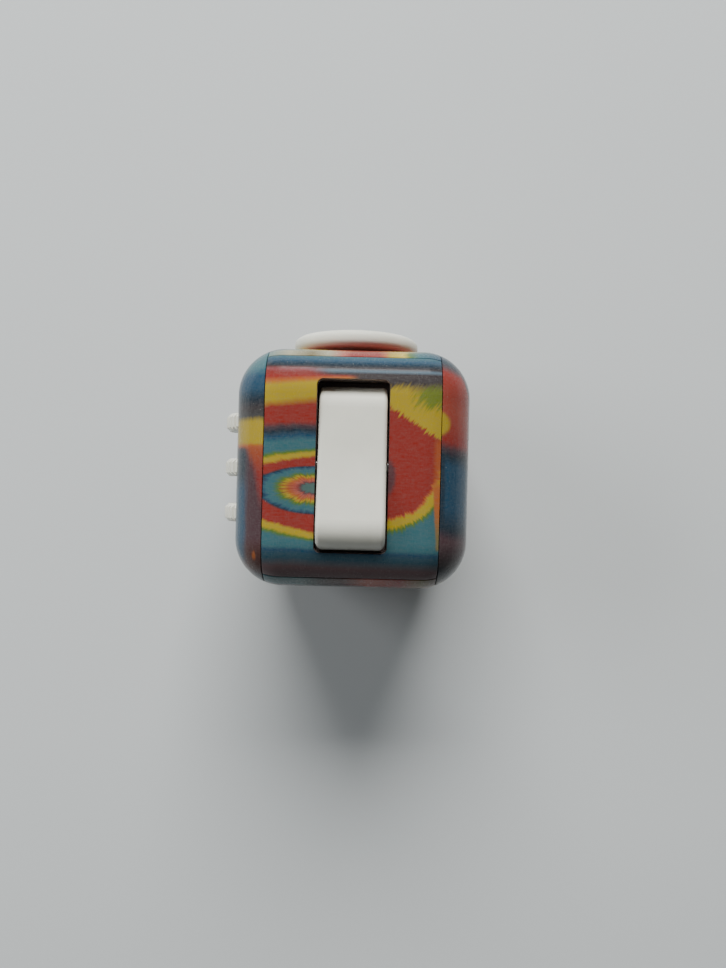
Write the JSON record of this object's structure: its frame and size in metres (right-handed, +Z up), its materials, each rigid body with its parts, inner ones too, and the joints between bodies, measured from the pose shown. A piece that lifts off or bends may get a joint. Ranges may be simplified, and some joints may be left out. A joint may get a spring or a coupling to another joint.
{
  "type": "fidget cube",
  "caption": "Rounded hand-held cube with a different fidget on each face: rocker, gears and ball, joystick, buttons, thumb dimple and dial.",
  "frame": {"origin": "centre of the dial's flat rest face, on the table the cube stands on", "axes": "+Z up through the rocker face, +Y towards the joystick face, +X towards the button face, -X towards the gears and ball, -Y towards the thumb dimple"},
  "size_m": [0.0358, 0.0371, 0.0377],
  "materials": {
    "printed_shell": "glossy dipped tie-dye film in red, yellow, green, teal and navy bands over moulded plastic",
    "white_plastic": "semi-gloss off-white moulded plastic, lightly scuffed",
    "inner_plastic": "matt dark moulded plastic",
    "steel": "plain machined steel",
    "spring_steel": "drawn spring wire",
    "silicone": "soft translucent grey silicone"
  },
  "bodies": {
    "shell": {"left_cap": "printed_shell", "right_cap": "printed_shell", "top_panel": "printed_shell", "bottom_panel": "printed_shell", "back_panel": "printed_shell", "front_panel": "printed_shell", "core_frame": "inner_plastic", "top_panel_screws": "steel", "bottom_panel_screws": "steel", "back_panel_screws": "steel", "front_panel_screws": "steel", "rocker_tub_screws": "steel", "gear_bracket_screws": "steel", "ball_sleeve_screws": "steel", "joystick_tray_screws": "steel", "joystick_retainer_screws": "steel", "button_plate_screws": "steel", "rocker_tub": "inner_plastic", "rocker_pin": "steel", "rocker_detent_ball": "steel", "rocker_detent_spring": "spring_steel", "gear_axle": "steel", "gear_bracket": "inner_plastic", "ball_sleeve": "inner_plastic", "ball_spring": "spring_steel", "joystick_tray": "inner_plastic", "joystick_centring_ring": "silicone", "joystick_retainer": "inner_plastic", "button_plate": "inner_plastic", "button_spring_top_front": "spring_steel", "button_spring_middle": "spring_steel", "button_spring_bottom_back": "spring_steel", "button_pad_top_back": "silicone", "button_pad_bottom_front": "silicone", "dial_friction_ring": "silicone"},
    "rocker": {"rocker": "white_plastic"},
    "gear_front": {"gear_front": "white_plastic"},
    "gear_middle": {"gear_middle": "white_plastic"},
    "gear_back": {"gear_back": "white_plastic"},
    "ball_cup": {"ball_cup": "inner_plastic"},
    "ball": {"ball": "white_plastic"},
    "glide_carriage": {"glide_carriage": "inner_plastic"},
    "joystick": {"joystick_cap": "white_plastic", "joystick_stem": "white_plastic"},
    "dial": {"dial": "white_plastic", "dial_keeper": "inner_plastic", "dial_screw": "steel"},
    "button_top_front": {"button_top_front": "white_plastic"},
    "button_top_back": {"button_top_back": "white_plastic"},
    "button_middle": {"button_middle": "white_plastic"},
    "button_bottom_front": {"button_bottom_front": "white_plastic"},
    "button_bottom_back": {"button_bottom_back": "white_plastic"}
  },
  "joints": [
    {"name": "rocker_flip", "type": "hinge", "parent": "shell", "child": "rocker", "pos_m": [0, 0, 0.0337], "axis": [1, 0, 0], "range_deg": [0, 21]},
    {"name": "button_top_front_press", "type": "slide", "parent": "shell", "child": "button_top_front", "axis": [-1, 0, 0], "range_m": [0, 0.0005], "stiffness_N_per_m": 600, "deforming": ["button_spring_top_front"]},
    {"name": "button_top_back_press", "type": "slide", "parent": "shell", "child": "button_top_back", "axis": [-1, 0, 0], "range_m": [0, 0.0005], "stiffness_N_per_m": 350, "deforming": ["button_pad_top_back"]},
    {"name": "button_middle_press", "type": "slide", "parent": "shell", "child": "button_middle", "axis": [-1, 0, 0], "range_m": [0, 0.0005], "stiffness_N_per_m": 600, "deforming": ["button_spring_middle"]},
    {"name": "button_bottom_front_press", "type": "slide", "parent": "shell", "child": "button_bottom_front", "axis": [-1, 0, 0], "range_m": [0, 0.0005], "stiffness_N_per_m": 350, "deforming": ["button_pad_bottom_front"]},
    {"name": "button_bottom_back_press", "type": "slide", "parent": "shell", "child": "button_bottom_back", "axis": [-1, 0, 0], "range_m": [0, 0.0005], "stiffness_N_per_m": 600, "deforming": ["button_spring_bottom_back"]},
    {"name": "gear_front_spin", "type": "hinge", "parent": "shell", "child": "gear_front", "pos_m": [-0.01366, -0.0069, 0.0256], "axis": [0, 1, 0], "continuous": true},
    {"name": "gear_middle_spin", "type": "hinge", "parent": "shell", "child": "gear_middle", "pos_m": [-0.01366, -0.0004, 0.0256], "axis": [0, 1, 0], "continuous": true},
    {"name": "gear_back_spin", "type": "hinge", "parent": "shell", "child": "gear_back", "pos_m": [-0.01366, 0.0061, 0.0256], "axis": [0, 1, 0], "continuous": true},
    {"name": "ball_press", "type": "slide", "parent": "shell", "child": "ball_cup", "axis": [1, 0, 0], "range_m": [0, 0.0008], "stiffness_N_per_m": 900, "deforming": ["ball_spring"]},
    {"name": "ball_roll", "type": "hinge", "parent": "ball_cup", "child": "ball", "pos_m": [-0.0135, 0, 0.0129], "axis": [0, 1, 0], "continuous": true},
    {"name": "glide_sideways", "type": "slide", "parent": "shell", "child": "glide_carriage", "axis": [1, 0, 0], "range_m": [-0.0018, 0.0018], "stiffness_N_per_m": 250, "deforming": ["joystick_centring_ring"]},
    {"name": "glide_upright", "type": "slide", "parent": "glide_carriage", "child": "joystick", "axis": [0, 0, 1], "range_m": [-0.0018, 0.0018], "stiffness_N_per_m": 250, "deforming": ["joystick_centring_ring"]},
    {"name": "dial_spin", "type": "hinge", "parent": "shell", "child": "dial", "pos_m": [0, 0, 0], "axis": [0, 0, 1], "continuous": true}
  ]
}
